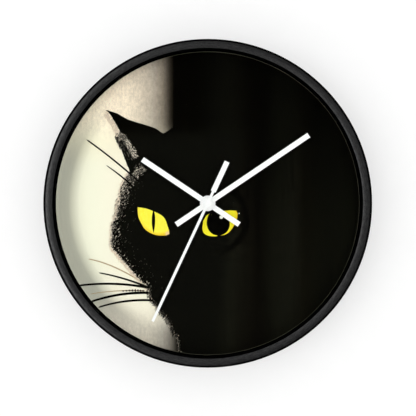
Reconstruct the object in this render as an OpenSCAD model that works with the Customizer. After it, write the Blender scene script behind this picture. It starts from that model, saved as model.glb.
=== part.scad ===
// Round wall clock: ring frame, printed dial, three hands and a battery quartz movement.
// Drawn lying on its back: x to the right, y up the dial, z from the wall (z = 0) to the viewer,
// with the hands' axis at x = y = 0. The last lines stand it up, so the dial faces -Y and the origin
// is on the hands' axis, halfway between the wall and the lip.

/* [Frame] */
// Outside diameter of the frame
frame_od = 254; // [250:1:330]
// Depth of the frame, wall to lip
frame_depth = 40; // [40:0.5:60]
// Width of the lip, seen from the front
lip_w = 7.5; // [6:0.5:9]
// Thickness of the frame's side wall
wall_t = 5; // [4:0.5:5.5]
// Radius of the lip's crowned face
crown_r = 14.5; // [12:0.5:40]
// Rounding of the lip's outer edge
outer_round = 1.6; // [0.8:0.1:2]
// Number of steel points that hold the board in
point_count = 8; // [4:1:12]

/* [Front and dial] */
// Thickness of the clear lens
lens_t = 2; // [1:0.1:2.5]
// Thickness of the dial card
dial_t = 0.6; // [0.3:0.1:1]
// Thickness of the back board
board_t = 3; // [2:0.1:4]
// Thickness of the printed areas
ink_t = 0.2; // [0.1:0.05:0.3]

/* [Hands] */
// Minute shown at rest
minute_shown = 9.333; // [0:0.001:60]
// Direction of the hour hand at rest, clockwise from 12
hour_turn = 303.9; // [0:0.1:360]
// Direction of the second hand at rest, clockwise from 12
second_turn = 205; // [0:0.1:360]
// Width of the hour and minute hands
hand_w = 4.2; // [2:0.1:6]
// Tip of the hour hand from the axis
hour_tip = 61.6; // [40:0.1:80]
// Tip of the minute hand from the axis
minute_tip = 95.2; // [60:0.1:100]
// Tail of the hour and minute hands from the axis
hand_tail = 29.7; // [12:0.1:40]
// Width of the second hand's needle
second_w = 2.1; // [1:0.1:3]
// Tip of the second hand from the axis
second_tip = 101.5; // [60:0.1:106]
// Tail of the second hand from the axis
second_tail = 35.8; // [20:0.1:50]
// Width of the second hand's tail paddle
paddle_w = 4.1; // [2.2:0.1:6]
// Thickness of a hand
hand_t = 0.4; // [0.3:0.05:0.5]

/* [Movement] */
// Side of the square movement case
case_w = 56; // [56:0.5:60]
// Depth of the movement case
case_d = 16; // [16:0.5:17.5]
// Gap between the case and the wall
case_gap = 4.5; // [4.5:0.1:6]
// Diameter of the battery
cell_d = 14.5; // [13.5:0.1:14.5]
// Length of the battery
cell_l = 50.5; // [49:0.1:50.5]
// Diameter of the hanger's keyhole
keyhole_d = 9; // [7:0.5:12]

/* [Gear teeth] */
// Pressure angle of the teeth
pressure_angle = 30; // [25:1:30]
// Gap left on each flank of a meshing tooth
flank_gap = 0.04; // [0.03:0.01:0.05]
// Straight steps along one tooth flank
flank_steps = 3; // [2:1:6]

/* [Hidden] */

$fn = 96;
eps = 0.01;
cut = 1;               // how far a cutting shape runs past the face it cuts
slip = 0.03;           // running gap between an arbor and its hole
seat_gap = 0.01;       // gap where one piece is pushed on to another

// ---- levels, from the wall to the lip ----
frame_r = frame_od / 2;
lip_r = frame_r - lip_w;
rebate_r = frame_r - wall_t;
inner_round = 0.6;
rear_chamfer = 1;
lens_z1 = frame_depth - 3;
lens_z0 = lens_z1 - lens_t;
case_z0 = case_gap;
case_wall = 1;
plate_t = 1.2;
case_z1 = case_z0 + case_d;
plate_z0 = case_z1 - plate_t;
hanger_t = 0.8;
hanger_z1 = case_z1 + hanger_t;
washer_z1 = hanger_z1 + 0.8;
board_z1 = washer_z1 + board_t;
dial_z1 = board_z1 + dial_t;
ink_z1 = dial_z1 + ink_t;
brass_z1 = dial_z1 + 0.5;
nut_z1 = brass_z1 + 2;
bush_z1 = nut_z1 + 0.4;
sheet_r = rebate_r - 0.3;     // lens, dial and board drop into the rebate with this radius

hour_z0 = bush_z1 + 0.7;
minute_z0 = hour_z0 + 1.8;
second_z0 = minute_z0 + 1.6;
hour_tube_z1 = hour_z0 + hand_t + 0.2;
cannon_z1 = minute_z0 + hand_t + 0.2;
arbor_z1 = second_z0 + 0.2;

// ---- stack inside the movement, from its rear wall ----
floor_z = case_z0 + case_wall;
boss_z1 = floor_z + 1.1;
pivot_z0 = floor_z - 0.1;
mid_z0 = case_z0 + 8;
mid_z1 = mid_z0 + 1;

// ---- gears: teeth and module ----
add_k = 0.8;
ded_k = 1.1;
rotor_n = 8;
inter_wheel_n = 48;
inter_m = 0.3;
inter_pinion_n = 8;
seconds_n = 40;
seconds_m = 0.35;
seconds_pinion_n = 8;
third_n = 60;
third_m = 0.36;
third_pinion_n = 8;
centre_n = 64;
centre_m = 0.34;
cannon_n = 12;
minute_n = 36;
minute_m = 0.375;
minute_pinion_n = 10;
hour_n = 40;
hour_m = 0.36;

// ---- arbor centres ----
function gap_of(m, a, b) = m * (a + b) / 2;
function polar(r, a) = r * [cos(a), sin(a)];
axis_c = [0, 0];
to_inter = 90;
axis_inter = axis_c + polar(gap_of(seconds_m, seconds_n, inter_pinion_n), to_inter);
to_rotor = 110;
axis_rotor = axis_inter + polar(gap_of(inter_m, inter_wheel_n, rotor_n), to_rotor);
to_third = 20;
axis_third = axis_c + polar(gap_of(third_m, third_n, seconds_pinion_n), to_third);
to_minute = 155;
axis_minute = axis_c + polar(gap_of(minute_m, minute_n, cannon_n), to_minute);
to_knob = 190;
axis_knob = axis_minute + polar(gap_of(minute_m, minute_n, cannon_n), to_knob);

// Turn of a gear with nb teeth that meshes with one of na teeth turned by turn_a, where dir points
// from the first gear's centre to the second's.
function mesh_turn(turn_a, na, nb, dir) = dir + 180 - ((turn_a - dir) * na + 180) / nb;

inter_pinion_turn = mesh_turn(0, seconds_n, inter_pinion_n, to_inter);
rotor_turn = mesh_turn(0, inter_wheel_n, rotor_n, to_rotor);
third_turn = mesh_turn(0, seconds_pinion_n, third_n, to_third);
centre_turn = mesh_turn(0, third_pinion_n, centre_n, to_third + 180);
minute_wheel_turn = mesh_turn(0, cannon_n, minute_n, to_minute);
hour_wheel_turn = mesh_turn(0, minute_pinion_n, hour_n, to_minute + 180);
knob_turn = mesh_turn(minute_wheel_turn, minute_n, cannon_n, to_knob);

arbor_r = 0.5;
cannon_r = 1.75;
cannon_foot_r = 1.2;
cannon_bore_r = arbor_r + 0.05;
hour_bore_r = cannon_r + 0.05;
hour_tube_r = 2.55;
bush_bore_r = hour_tube_r + 0.05;
bush_r = 4;
bush_clear_r = bush_r + 0.05;

// ---- small helpers ----
module at(p, z) translate([p[0], p[1], z]) children();
module disc(r, z0, z1) translate([0, 0, z0]) cylinder(r = r, h = z1 - z0);
module hole(r, z0, z1) translate([0, 0, z0]) cylinder(r = r, h = z1 - z0, $fn = 48);
module ring(r_in, r_out, z0, z1) {
    difference() {
        disc(r_out, z0, z1);
        hole(r_in, z0 - cut, z1 + cut);
    }
}
module block(x0, x1, y0, y1, z0, z1) translate([x0, y0, z0]) cube([x1 - x0, y1 - y0, z1 - z0]);
module slab(z0, z1) translate([0, 0, z0]) linear_extrude(height = z1 - z0) children();

// A rectangle with rounded corners, from plain squares and circles.
module soft_rect(w, h, r) {
    square([w - 2 * r, h], center = true);
    square([w, h - 2 * r], center = true);
    for (x = [-1, 1], y = [-1, 1]) translate([x * (w / 2 - r), y * (h / 2 - r)]) circle(r = r, $fn = 32);
}

// Points along an arc about c, and a smooth curve through the points of a list.
function arc(c, r, a0, a1, n) = [for (i = [0:n]) c + polar(r, a0 + (a1 - a0) * i / n)];
function spline_at(a, b, c, d, t) =
    0.5 * (2 * b + (c - a) * t + (2 * a - 5 * b + 4 * c - d) * t * t
        + (3 * b - a - 3 * c + d) * t * t * t);
function smooth(p, n = 4) = let (m = len(p) - 1) concat(
    [for (i = [0:m - 1], k = [0:n - 1])
        spline_at(p[max(i - 1, 0)], p[i], p[i + 1], p[min(i + 2, m)], k / n)],
    [p[m]]);
function spin_points(p, a) = [for (q = p) [q[0] * cos(a) - q[1] * sin(a), q[0] * sin(a) + q[1] * cos(a)]];

// ---- gear teeth ----
function involute(a) = tan(a) * 180 / PI - a;
// Half angle of a tooth at radius r, for a gear of pitch radius rp whose tooth there spans half_pitch.
function half_tooth(r, rb, half_pitch) =
    half_pitch + involute(pressure_angle) - involute(acos(min(1, rb / r)));
module gear_outline(n, m, turn) {
    rp = m * n / 2;
    rb = rp * cos(pressure_angle);
    r_tip = rp + add_k * m;
    r_root = rp - ded_k * m;
    r_low = max(rb, r_root);
    half_pitch = 90 / n - (flank_gap / 2) / rp * 180 / PI;
    flank = [for (i = [0:flank_steps]) let (r = r_low + (r_tip - r_low) * i / flank_steps)
        [r, half_tooth(r, rb, half_pitch)]];
    root_half = half_tooth(r_low, rb, half_pitch);
    rising = concat(
        [polar(r_root, -root_half)],
        [for (f = flank) if (f[0] > r_root + eps) polar(f[0], -f[1])]);
    falling = [for (i = [len(rising) - 1:-1:0]) [rising[i][0], -rising[i][1]]];
    tooth = concat(rising, falling);
    polygon([for (k = [0:n - 1]) each spin_points(tooth, turn + k * 360 / n)]);
}
module gear(n, m, turn, z0, z1) slab(z0, z1) gear_outline(n, m, turn);

// ---- frame, front and dial ----
module frame_ring() {
    mid_r = frame_r - lip_w / 2;
    crown_z = frame_depth - crown_r;
    outer_tilt = asin((frame_r - outer_round - mid_r) / (crown_r - outer_round));
    inner_tilt = asin((mid_r - lip_r - inner_round) / (crown_r - inner_round));
    outer_c = [mid_r, crown_z] + polar(crown_r - outer_round, 90 - outer_tilt);
    inner_c = [mid_r, crown_z] + polar(crown_r - inner_round, 90 + inner_tilt);
    section = concat(
        [[rebate_r, 0], [frame_r - rear_chamfer, 0], [frame_r, rear_chamfer]],
        arc(outer_c, outer_round, 0, 90 - outer_tilt, 6),
        arc([mid_r, crown_z], crown_r, 90 - outer_tilt, 90 + inner_tilt, 8),
        arc(inner_c, inner_round, 90 + inner_tilt, 180, 4),
        [[lip_r, lens_z1], [rebate_r, lens_z1]]);
    color("#2b2b2d") difference() {
        rotate_extrude($fn = 180) polygon(section);
        for (i = [0:point_count - 1]) rotate([0, 0, (i + 0.5) * 360 / point_count]) point_blade(0.05);
    }
}

module lens() color("#dfe8ea", 0.25) disc(sheet_r, lens_z0, lens_z1);

module spacer_ring() {
    color("#141415") rotate_extrude($fn = 180) {
        translate([lip_r, dial_z1]) square([sheet_r - lip_r, lens_z0 - dial_z1]);
    }
}

module dial_card() color("#f5f4e2") ring(bush_clear_r, sheet_r, board_z1, dial_z1);

// The cat's face, in millimetres on a dial of this radius; the picture grows with the dial.
picture_r = 119.5;
picture = lip_r / picture_r;
print_margin = 0.4;
print_r = lip_r - print_margin;
ground_top = [[-27, 118], [-27, 80], [-27, 62], [-28.5, 58.9], [-32, 56.6], [-34.8, 54.9]];
ear_top = [[-37.5, 56.4], [-41, 59], [-49.6, 61.9], [-62.6, 65.9], [-71.1, 70.7], [-79.2, 73.2]];
ear_side = [[-79.2, 73.2], [-76.1, 69.2], [-71.6, 61.6], [-68.8, 55.8], [-69.5, 51], [-68.5, 44.5],
    [-66, 37], [-61.3, 25.5]];
cheek = [[-61.3, 25.5], [-65.1, 19], [-67.8, 12.5], [-69.5, 4.5], [-72.1, -10.6], [-75.2, -16],
    [-75.3, -25], [-75.8, -33], [-72.1, -38.5], [-65.1, -46.8], [-56.6, -57], [-50.6, -62.8],
    [-47, -66.5], [-45.4, -75.1], [-39.6, -81.4], [-35, -87.7], [-30.5, -92.2], [-27.4, -103.1],
    [-23, -106], [-22, -118]];
module cat_outline() {
    rim = arc([0, 0], picture_r, -100, 103, 72);
    left = concat(smooth(ground_top, 2), smooth(ear_top, 2), smooth(ear_side, 2), smooth(cheek, 3));
    polygon(concat(rim, left));
}

left_eye = [[-55.1, -3.1], [-48.5, -4.1], [-42.5, -6.3], [-36.5, -9.3], [-33.5, -12.6], [-31.7, -17.6],
    [-30.2, -24.2], [-36, -25.4], [-41, -24.9], [-46, -22.9], [-50.6, -19.1], [-53.6, -14.1],
    [-55, -8.1], [-55.1, -3.1]];
left_slit = [-42.7, -14.9];
slit_h = 8.3;
slit_w = 1.25;
slit_r = (slit_h * slit_h + slit_w * slit_w) / (2 * slit_w);
right_eye = [[13.1, -5.9], [22.4, -5.8], [23.3, -10.9], [21.4, -16.4], [17.1, -22.5], [12.6, -25],
    [5.6, -26], [0.6, -25.5], [-3.4, -24], [-4.9, -20.5], [-4.7, -16.4], [-2.4, -11.9], [1.1, -8.2],
    [13.1, -5.9]];
pupil = [8.4, -16.4];
pupil_r = 9;
catchlight = [10.6, -10.9];
catchlight_r = 1.4;
module eye_shapes() {
    difference() {
        polygon(smooth(left_eye, 2));
        translate(left_slit) intersection() {
            translate([slit_r - slit_w, 0]) circle(r = slit_r);
            translate([slit_w - slit_r, 0]) circle(r = slit_r);
        }
    }
    difference() {
        polygon(smooth(right_eye, 2));
        translate(pupil) circle(r = pupil_r);
    }
}

module dial_print_black() {
    color("#0c0c0a") slab(dial_z1, ink_z1) difference() {
        intersection() {
            circle(r = print_r);
            scale(picture) cat_outline();
        }
        scale(picture) eye_shapes();
        scale(picture) translate(catchlight) circle(r = catchlight_r, $fn = 24);
        circle(r = bush_clear_r + 2);
    }
}

module dial_print_yellow() color("#f3e23c") slab(dial_z1, ink_z1) scale(picture) eye_shapes();

module back_board() color("#8a6642") ring(bush_clear_r, sheet_r, washer_z1, board_z1);

// One flat steel point: it lies behind the board and its end sits in the frame's wall.
module point_blade(play) {
    blade_w = 6;
    blade_t = 0.4;
    blade_in = rebate_r - 9;
    blade_out = rebate_r + 2;
    block(blade_in, blade_out + play, -blade_w / 2 - play, blade_w / 2 + play,
        washer_z1 - blade_t - play, washer_z1 + play);
}
module retaining_points() {
    color("#9a9ca0") for (i = [0:point_count - 1]) {
        rotate([0, 0, (i + 0.5) * 360 / point_count]) difference() {
            point_blade(0);
            translate([rebate_r - 6, 0, 0]) hole(1, 0, board_z1);
        }
    }
}

// ---- what holds the movement and the clock ----
hanger_w = 30;
hanger_leg_y = case_w / 2 + 6;
hanger_top_y = hanger_leg_y + 24;
hanger_back_z = 3.4;
keyhole_y = hanger_leg_y + 9;
slot_w = 4;
slot_up = 8;
module hanger_bracket() {
    r_in = 1;
    r_out = r_in + hanger_t;
    z_front = hanger_z1;
    leg = hanger_leg_y;
    side = concat(
        [[-15, z_front - hanger_t]],
        arc([leg - r_out, z_front - r_out], r_in, 90, 0, 6),
        arc([leg + r_in, hanger_back_z + r_out], r_out, 180, 270, 6),
        [[hanger_top_y, hanger_back_z], [hanger_top_y, hanger_back_z + hanger_t]],
        arc([leg + r_in, hanger_back_z + r_out], r_in, 270, 180, 6),
        arc([leg - r_out, z_front - r_out], r_out, 0, 90, 6),
        [[-15, z_front]]);
    color("#b9bcc0") difference() {
        rotate([90, 0, 90]) slab(-hanger_w / 2, hanger_w / 2) polygon(side);
        hole(bush_clear_r, 0, frame_depth);
        translate([0, keyhole_y, 0]) hole(keyhole_d / 2, 0, hanger_back_z + 2);
        translate([0, keyhole_y + slot_up, 0]) hole(slot_w / 2, 0, hanger_back_z + 2);
        block(-slot_w / 2, slot_w / 2, keyhole_y, keyhole_y + slot_up, 0, hanger_back_z + 2);
    }
}

module rubber_washer() color("#1d1d1d") ring(bush_clear_r, 9, hanger_z1, washer_z1);

module brass_washer() color("#c9a54a") ring(bush_clear_r, 5.8, dial_z1, brass_z1);

module shaft_nut() {
    nut_af = 9.5;
    color("#c9a54a") difference() {
        slab(brass_z1, nut_z1) circle(d = nut_af / cos(30), $fn = 6);
        hole(bush_clear_r, 0, frame_depth);
    }
}

module threaded_bush() {
    flange_r = 5.5;
    flange_t = 0.8;
    thread_pitch = 0.75;
    groove = 0.15;
    color("#c9a54a") difference() {
        union() {
            disc(flange_r, plate_z0 - flange_t, plate_z0);
            disc(bush_r, plate_z0 - eps, bush_z1);
        }
        hole(bush_bore_r, 0, frame_depth);
        for (z = [nut_z1 - 2 * thread_pitch:thread_pitch:bush_z1 - 0.3]) {
            ring(bush_r - groove, bush_r + cut, z, z + groove);
        }
    }
}

// ---- the movement's case ----
half = case_w / 2;
inner = half - case_wall;
bay_y0 = -inner;
bay_play = 0.1;
bay_y1 = bay_y0 + cell_d + 2 * bay_play;
partition_t = 0.8;
room_y0 = bay_y1 + partition_t;       // lower edge of the wheels' room
cell_y = bay_y0 + bay_play + cell_d / 2;
cell_z = plate_z0 - 0.05 - cell_d / 2;
contact_t = 0.4;
rail_z0 = floor_z + 0.7;              // level of the contact strips
rail_z1 = rail_z0 + 2;
pcb_z0 = rail_z1;
pcb_t = 0.8;
knob_shaft_r = 1.5;
clip_ys = [-4, 18];
clip_w = 6;
clip_l = 5;
clip_hook = 1.5;
mid_posts = [[-24.7, 3.5], [24.5, -8.7], [24.5, 10.5], [-12, 10.5]];
front_posts = [[-24.5, -8.7], [24.5, -8.7], [24.5, 15], [-24.5, 15]];
stator_z0 = floor_z + 4.1;
stator_z1 = stator_z0 + 1;
stator_posts = [[-12, 23], [22.5, 23]];
pcb_x = [-26.9, -15];
pcb_y = [6.5, 24.5];
pcb_posts = [[-24, 22], [-17, 9]];
post_r = 1.3;

case_corner = 3;
module case_outline() soft_rect(case_w, case_w, case_corner);
module case_cavity() soft_rect(2 * inner, 2 * inner, case_corner - case_wall);

module movement_case() {
    color("#202022") difference() {
        union() {
            difference() {
                slab(case_z0, plate_z0) case_outline();
                slab(floor_z, plate_z0 + cut) case_cavity();
                block(-inner, inner, bay_y0, bay_y1, case_z0 - cut, floor_z + cut);
            }
            block(-inner - eps, inner + eps, bay_y1, room_y0, case_z0, plate_z0);
            for (p = mid_posts) at(p, floor_z - eps) cylinder(r = post_r, h = mid_z0 - floor_z + eps);
            for (p = stator_posts) {
                at(p, floor_z - eps) cylinder(r = post_r, h = stator_z0 - floor_z + eps);
            }
            for (p = pcb_posts) at(p, floor_z - eps) cylinder(r = post_r, h = pcb_z0 - floor_z + eps);
            for (p = [axis_c, axis_inter, axis_rotor, axis_third]) {
                at(p, floor_z - eps) cylinder(r = 1.6, h = boss_z1 - floor_z + eps);
            }
        }
        for (p = [axis_c, axis_inter, axis_rotor, axis_third]) {
            at(p, pivot_z0) cylinder(r = arbor_r + slip, h = case_d, $fn = 32);
        }
        at(axis_knob, 0) cylinder(r = knob_shaft_r + 0.05, h = case_d, $fn = 48);
        for (x = [-1, 1]) translate([x * (inner - 1), 0, 0]) {
            block(-1.2, 1.2, bay_y1 - cut, room_y0 + cut, rail_z0 - 0.1, rail_z1 + 0.1);
        }
        for (x = [-1, 1], y = clip_ys) translate([x * inner, y, 0]) {
            reach = case_wall + cut;
            window = clip_w / 2 + 0.1;
            hook_z0 = plate_z0 - clip_l;
            block(-reach, reach, -window, window, hook_z0 - 0.1, hook_z0 + clip_hook + 0.1);
        }
    }
}

module movement_front_plate() {
    color("#202022") difference() {
        union() {
            slab(plate_z0, case_z1) case_outline();
            for (p = front_posts) at(p, mid_z1) cylinder(r = post_r, h = plate_z0 - mid_z1 + eps);
            at(axis_minute, mid_z1 + 1.5) cylinder(r = 0.75, h = plate_z0 - mid_z1 - 1.5 + eps, $fn = 48);
            at(axis_third, plate_z0 - 1) cylinder(r = 1.5, h = 1 + eps);
            for (x = [-1, 1], y = clip_ys) translate([x * inner, y, 0]) mirror([x < 0 ? 1 : 0, 0, 0]) {
                block(-0.9, -0.05, -clip_w / 2, clip_w / 2, plate_z0 - clip_l, plate_z0 + eps);
                block(-0.1, 0.6, -clip_w / 2, clip_w / 2, plate_z0 - clip_l, plate_z0 - clip_l + clip_hook);
            }
        }
        hole(bush_clear_r, 0, frame_depth);
        at(axis_third, 0) cylinder(r = arbor_r + slip, h = plate_z0 + 0.3, $fn = 32);
    }
}

module middle_plate() {
    top_y = 19.2;
    play = 0.2;
    plate_w = 2 * (inner - play);
    plate_h = top_y - room_y0 - 2 * play;
    color("#e9e6dc") difference() {
        slab(mid_z0, mid_z1) translate([0, (room_y0 + top_y) / 2]) soft_rect(plate_w, plate_h, 2);
        at(axis_c, 0) cylinder(r = cannon_foot_r + slip, h = case_z1, $fn = 48);
        for (p = [axis_inter, axis_rotor, axis_third]) {
            at(p, 0) cylinder(r = arbor_r + slip, h = case_z1, $fn = 32);
        }
        at(axis_knob, 0) cylinder(r = knob_shaft_r + 0.05, h = case_z1, $fn = 48);
    }
}

// ---- electrics ----
module circuit_board() {
    color("#2f6b3c") block(pcb_x[0], pcb_x[1], pcb_y[0], pcb_y[1], pcb_z0, pcb_z0 + pcb_t);
}

module quartz_crystal() {
    top = pcb_z0 + pcb_t;
    color("#c8ccd2") translate([-17.5, 15, top + 1]) rotate([-90, 0, 0]) cylinder(r = 1, h = 6);
}

module chip_cover() {
    top = pcb_z0 + pcb_t;
    dome_r = 3.4;
    rise = 1.4;
    color("#111111") intersection() {
        translate([-20.5, 11, top + rise - dome_r]) sphere(r = dome_r);
        block(-26, -15, 6.5, 16, top, top + 3);
    }
}

coil_x = [4.5, 19];
coil_y = 23.2;
core_h = 0.8;
core_w = 3;
yoke_x0 = -14;                        // ends of the core and of the stator's legs
yoke_x1 = 24.5;
leg_w = 4;
bar_y0 = 13.8;
bar_y1 = 18.2;
coil_z = stator_z1 + core_h / 2;
coil_r = 3.4;
bobbin_r = 2;
module along_coil(x0, x1, r) {
    translate([x0, coil_y, coil_z]) rotate([0, 90, 0]) cylinder(r = r, h = x1 - x0);
}

module coil_bobbin() {
    play = 0.05;
    color("#d8d4c4") difference() {
        union() {
            along_coil(coil_x[0], coil_x[1], bobbin_r);
            along_coil(coil_x[0], coil_x[0] + 0.6, coil_r + 0.2);
            along_coil(coil_x[1] - 0.6, coil_x[1], coil_r + 0.2);
        }
        slot = core_w / 2 + play;
        block(0, yoke_x1, coil_y - slot, coil_y + slot, stator_z1 - play, stator_z1 + core_h + play);
    }
}

module coil_winding() {
    color("#b0602f") difference() {
        along_coil(coil_x[0] + 0.65, coil_x[1] - 0.65, coil_r);
        along_coil(coil_x[0], coil_x[1], bobbin_r + 0.02);
    }
}

module coil_core() {
    side = core_w / 2;
    color("#8d9095") block(yoke_x0, yoke_x1, coil_y - side, coil_y + side, stator_z1, stator_z1 + core_h);
}

module stator() {
    pole_r = 5.2;
    color("#9ea1a6") difference() {
        union() {
            at(axis_rotor, stator_z0) cylinder(r = pole_r, h = stator_z1 - stator_z0);
            block(yoke_x0, yoke_x1, bar_y0, bar_y1, stator_z0, stator_z1);
            block(yoke_x0, yoke_x0 + leg_w, bar_y0, coil_y + core_w / 2, stator_z0, stator_z1);
            block(yoke_x1 - leg_w, yoke_x1, bar_y0, coil_y + core_w / 2, stator_z0, stator_z1);
        }
        at(axis_rotor, 0) cylinder(r = magnet_r + 0.45, h = case_z1, $fn = 48);
    }
}

strip_x = inner - contact_t;
touch = 0.02;                         // gap drawn between the battery and each contact
cell_x0 = strip_x - touch - cell_l;
plate_y0 = bay_y0 + 2;
plate_y1 = bay_y1 - 0.5;
riser_x = -22.8;
riser_y1 = pcb_y[0] + 2.5;
// One end plate and its tail, which leaves the battery's bay through the notch in the partition.
module end_plate() {
    block(strip_x, inner, plate_y0, plate_y1, rail_z0, rail_z0 + 10);
    block(strip_x, inner, plate_y1 - cut, room_y0 + contact_t, rail_z0, rail_z1);
}
module battery_contact_positive() {
    color("#c7c9cc") {
        end_plate();
        block(riser_x, inner, room_y0, room_y0 + contact_t, rail_z0, rail_z1);
        block(riser_x, riser_x + contact_t, room_y0, riser_y1, rail_z0, rail_z1);
    }
}

module battery_contact_negative() {
    leaf_t = 0.3;
    bow_x = cell_x0 - touch - leaf_t;
    root_x = -strip_x - 0.1;
    outer_line = [[root_x, cell_y - 5], [bow_x, cell_y - 0.8], [bow_x, cell_y + 0.8], [root_x, cell_y + 5]];
    inner_line = [for (i = [3:-1:0]) outer_line[i] + [leaf_t, 0]];
    color("#c7c9cc") {
        mirror([1, 0, 0]) end_plate();
        slab(rail_z0 + 3, rail_z0 + 8) polygon(concat(outer_line, inner_line));
        block(-inner, -strip_x, plate_y1, riser_y1, rail_z0, rail_z1);
    }
}

module battery() {
    nub_l = 1.3;
    nub_r = 2.7;
    body_l = cell_l - nub_l;
    cell_r = cell_d / 2;
    base_r = cell_r - 1;
    base_l = 0.3;
    bevel = 0.6;
    nub_bevel = 0.2;
    section = [[0, 0], [base_r, 0], [base_r, base_l], [cell_r - bevel, base_l], [cell_r, base_l + bevel],
        [cell_r, body_l - bevel], [cell_r - bevel, body_l], [nub_r, body_l], [nub_r, cell_l - nub_bevel],
        [nub_r - nub_bevel, cell_l], [0, cell_l]];
    color("#3a5f86") {
        translate([cell_x0, cell_y, cell_z]) rotate([0, 90, 0]) rotate_extrude() polygon(section);
    }
}

// ---- the wheel train, rear to front ----
module arbor(p, r, z0, z1) at(p, z0) cylinder(r = r, h = z1 - z0, $fn = 32);

magnet_r = 3;
magnet_l = 2.5;
module rotor() {
    pinion_z0 = boss_z1 + 0.4;
    color("#e9e6dc") {
        arbor(axis_rotor, arbor_r, floor_z, mid_z1 - 0.3);
        translate(axis_rotor) gear(rotor_n, inter_m, rotor_turn, pinion_z0, pinion_z0 + 1.6);
    }
}

module rotor_magnet() {
    z0 = stator_z0 - 0.6;
    color("#4a4b4e") translate(axis_rotor) ring(arbor_r + seat_gap, magnet_r, z0, z0 + magnet_l);
}

module intermediate_wheel() {
    z0 = boss_z1 + 0.8;
    color("#f2efe4") {
        arbor(axis_inter, arbor_r, floor_z, mid_z1 - 0.1);
        translate(axis_inter) gear(inter_wheel_n, inter_m, 0, z0, z0 + 0.8);
        translate(axis_inter) gear(inter_pinion_n, seconds_m, inter_pinion_turn, z0 + 0.7, z0 + 3.2);
    }
}

seconds_z0 = boss_z1 + 3;
module seconds_arbor() color("#b9bcc0") arbor(axis_c, arbor_r, floor_z, arbor_z1);

module seconds_wheel() {
    color("#f2efe4") difference() {
        union() {
            gear(seconds_n, seconds_m, 0, seconds_z0, seconds_z0 + 0.8);
            gear(seconds_pinion_n, third_m, 0, seconds_z0 + 0.7, seconds_z0 + 2.6);
        }
        hole(arbor_r + seat_gap, 0, frame_depth);
    }
}

third_z0 = seconds_z0 + 1.4;
module third_wheel() {
    color("#f2efe4") {
        arbor(axis_third, arbor_r, floor_z, plate_z0 + 0.2);
        translate(axis_third) gear(third_n, third_m, third_turn, third_z0, third_z0 + 0.8);
        translate(axis_third) gear(third_pinion_n, centre_m, 0, mid_z1 + 0.3, mid_z1 + 1.7);
    }
}

cannon_seat_r = 1.8;
module centre_wheel() {
    color("#f2efe4") difference() {
        union() {
            gear(centre_n, centre_m, centre_turn, mid_z1 + 0.5, mid_z1 + 1.4);
            disc(3.2, mid_z1 + 0.1, mid_z1 + 1.6);
        }
        hole(cannon_seat_r + slip, 0, frame_depth);
    }
}

cannon_z0 = mid_z1 + 1.7;
module cannon_pinion() {
    color("#f2efe4") difference() {
        union() {
            disc(cannon_foot_r, mid_z0 + 0.1, mid_z1 + 0.2);
            disc(cannon_seat_r, mid_z1 + 0.15, cannon_z0 + 0.1);
            gear(cannon_n, minute_m, 0, cannon_z0, cannon_z0 + 1.7);
            disc(cannon_r, cannon_z0 + 1.6, cannon_z1);
        }
        hole(cannon_bore_r, 0, frame_depth);
    }
}

module minute_wheel() {
    color("#f2efe4") translate(axis_minute) difference() {
        union() {
            gear(minute_n, minute_m, minute_wheel_turn, cannon_z0 + 0.1, cannon_z0 + 1.5);
            gear(minute_pinion_n, hour_m, 0, cannon_z0 + 1.4, cannon_z0 + 3.4);
        }
        hole(0.75 + slip, 0, frame_depth);
    }
}

hour_wheel_z0 = cannon_z0 + 2.1;
module hour_wheel() {
    color("#f2efe4") difference() {
        union() {
            disc(3, cannon_z0 + 1.8, hour_wheel_z0 + 0.1);
            gear(hour_n, hour_m, hour_wheel_turn, hour_wheel_z0, hour_wheel_z0 + 1);
            disc(hour_tube_r, hour_wheel_z0 + 0.9, hour_tube_z1);
        }
        hole(hour_bore_r, 0, frame_depth);
    }
}

module setting_knob() {
    knob_z0 = 1.4;
    knob_z1 = case_z0 - 0.2;
    knob_r = 5.5;
    grips = 24;
    color("#e9e6dc") translate(axis_knob) {
        difference() {
            disc(knob_r, knob_z0, knob_z1);
            for (i = [0:grips - 1]) {
                translate(polar(knob_r + 0.1, i * 360 / grips)) hole(0.35, 0, case_z0);
            }
            block(-4, 4, -0.5, 0.5, 0, knob_z0 + 0.6);
        }
        disc(knob_shaft_r, knob_z1 - eps, cannon_z0 + 0.2);
        disc(2.2, mid_z1 + 0.1, cannon_z0 + 0.1);
        gear(cannon_n, minute_m, knob_turn, cannon_z0 + 0.05, cannon_z0 + 1.6);
    }
}

// ---- hands, each a flat blade and a round boss on its tube ----
module blade(turn, y0, y1, w, z0) rotate([0, 0, -turn]) block(-w / 2, w / 2, y0, y1, z0, z0 + hand_t);

module hour_hand() {
    color("#f4f4f2") difference() {
        union() {
            blade(hour_turn, -hand_tail, hour_tip, hand_w, hour_z0);
            disc(6.1, hour_z0, hour_z0 + hand_t);
            disc(3.4, hour_z0 - 0.3, hour_z0 + hand_t);
        }
        hole(hour_tube_r + seat_gap, 0, frame_depth);
    }
}

module minute_hand() {
    color("#f4f4f2") difference() {
        union() {
            blade(minute_shown * 6, -hand_tail, minute_tip, hand_w, minute_z0);
            disc(5.2, minute_z0, minute_z0 + hand_t);
            disc(2.6, minute_z0 - 0.9, minute_z0 + hand_t);
        }
        hole(cannon_r + seat_gap, 0, frame_depth);
    }
}

module second_hand() {
    neck_tail = 10.1;
    cap_z1 = arbor_z1 + 0.3;
    color("#f4f4f2") difference() {
        union() {
            blade(second_turn, -second_tail, second_tip, second_w, second_z0);
            blade(second_turn, -second_tail, -neck_tail, paddle_w, second_z0);
            disc(3.1, second_z0, second_z0 + hand_t);
            disc(1.2, second_z0 - 0.8, cap_z1);
        }
        hole(arbor_r + seat_gap, 0, arbor_z1 + seat_gap);
    }
}

module standing() translate([0, frame_depth / 2, 0]) rotate([90, 0, 0]) children();

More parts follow.
